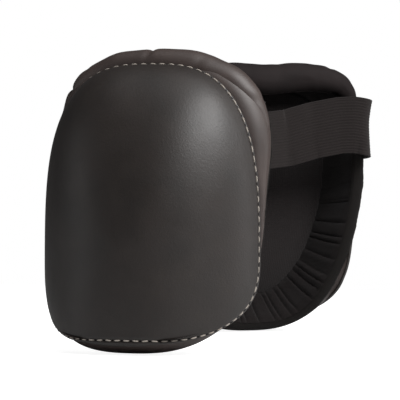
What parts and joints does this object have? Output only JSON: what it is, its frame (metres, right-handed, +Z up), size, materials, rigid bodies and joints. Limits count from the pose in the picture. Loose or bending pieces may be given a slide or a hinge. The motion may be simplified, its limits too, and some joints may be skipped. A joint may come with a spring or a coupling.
{
  "type": "knee pads",
  "caption": "Pair of padded knee pads: moulded leather cap stitched over a foam cup, felt-bound rim, padded collar and an elastic strap with a touch fastener.",
  "frame": {"origin": "on the floor, under the middle of the pair's bounding box", "axes": "+Z up, -Y the way the left pad's cap faces, +X towards the right-hand side of the left pad as seen from its front"},
  "size_m": [0.2196, 0.4026, 0.2535],
  "materials": {
    "cap_leather": "thick moulded leather, fine grain, satin",
    "seam_thread": "waxed heavy thread",
    "welt_leather": "cut leather edge",
    "cover_vinyl": "soft brown-grey vinyl",
    "firm_foam": "closed-cell foam",
    "soft_foam": "open-cell foam",
    "lining_felt": "flat brushed knit",
    "gusset_cloth": "gathered woven cloth",
    "binding_felt": "fuzzy felt",
    "collar_vinyl": "soft brown-grey vinyl",
    "patch_leather": "flat leather",
    "elastic_webbing": "ribbed woven elastic",
    "hook_tape": "hook side of a touch fastener",
    "loop_tape": "loop side of a touch fastener"
  },
  "bodies": {
    "left_pad": {"left_cap": "cap_leather", "left_cap_stitching": "seam_thread", "left_cap_welt": "welt_leather", "left_outer_cover": "cover_vinyl", "left_core_foam": "firm_foam", "left_comfort_foam": "soft_foam", "left_lining_panel": "lining_felt", "left_gusset": "gusset_cloth", "left_rim_binding": "binding_felt", "left_collar_cover": "collar_vinyl", "left_collar_foam": "soft_foam", "left_anchor_patch": "patch_leather", "left_strap_root": "elastic_webbing", "left_anchor_stitching": "seam_thread", "left_tab_patch": "patch_leather", "left_tab_root": "elastic_webbing", "left_tab_stitching": "seam_thread", "left_short_strap": "elastic_webbing", "left_loop_patch": "loop_tape"},
    "left_strap": {"left_elastic_strap": "elastic_webbing", "left_hook_patch": "hook_tape"},
    "right_pad": {"right_cap": "cap_leather", "right_cap_stitching": "seam_thread", "right_cap_welt": "welt_leather", "right_outer_cover": "cover_vinyl", "right_core_foam": "firm_foam", "right_comfort_foam": "soft_foam", "right_lining_panel": "lining_felt", "right_gusset": "gusset_cloth", "right_rim_binding": "binding_felt", "right_collar_cover": "collar_vinyl", "right_collar_foam": "soft_foam", "right_anchor_patch": "patch_leather", "right_strap_root": "elastic_webbing", "right_anchor_stitching": "seam_thread", "right_tab_patch": "patch_leather", "right_tab_root": "elastic_webbing", "right_tab_stitching": "seam_thread", "right_short_strap": "elastic_webbing", "right_loop_patch": "loop_tape"},
    "right_strap": {"right_elastic_strap": "elastic_webbing", "right_hook_patch": "hook_tape"}
  },
  "joints": [
    {"name": "left_strap_open", "type": "hinge", "parent": "left_pad", "child": "left_strap", "pos_m": [0.09435, -0.09599, 0.191], "axis": [0, 0, -1], "range_deg": [0, 100]},
    {"name": "right_pad_apart", "type": "slide", "parent": "left_pad", "child": "right_pad", "axis": [0, 1, 0], "range_m": [0, 0.15]},
    {"name": "right_strap_open", "type": "hinge", "parent": "right_pad", "child": "right_strap", "pos_m": [0.10143, 0.15989, 0.191], "axis": [0, 0, 1], "range_deg": [0, 100]}
  ]
}
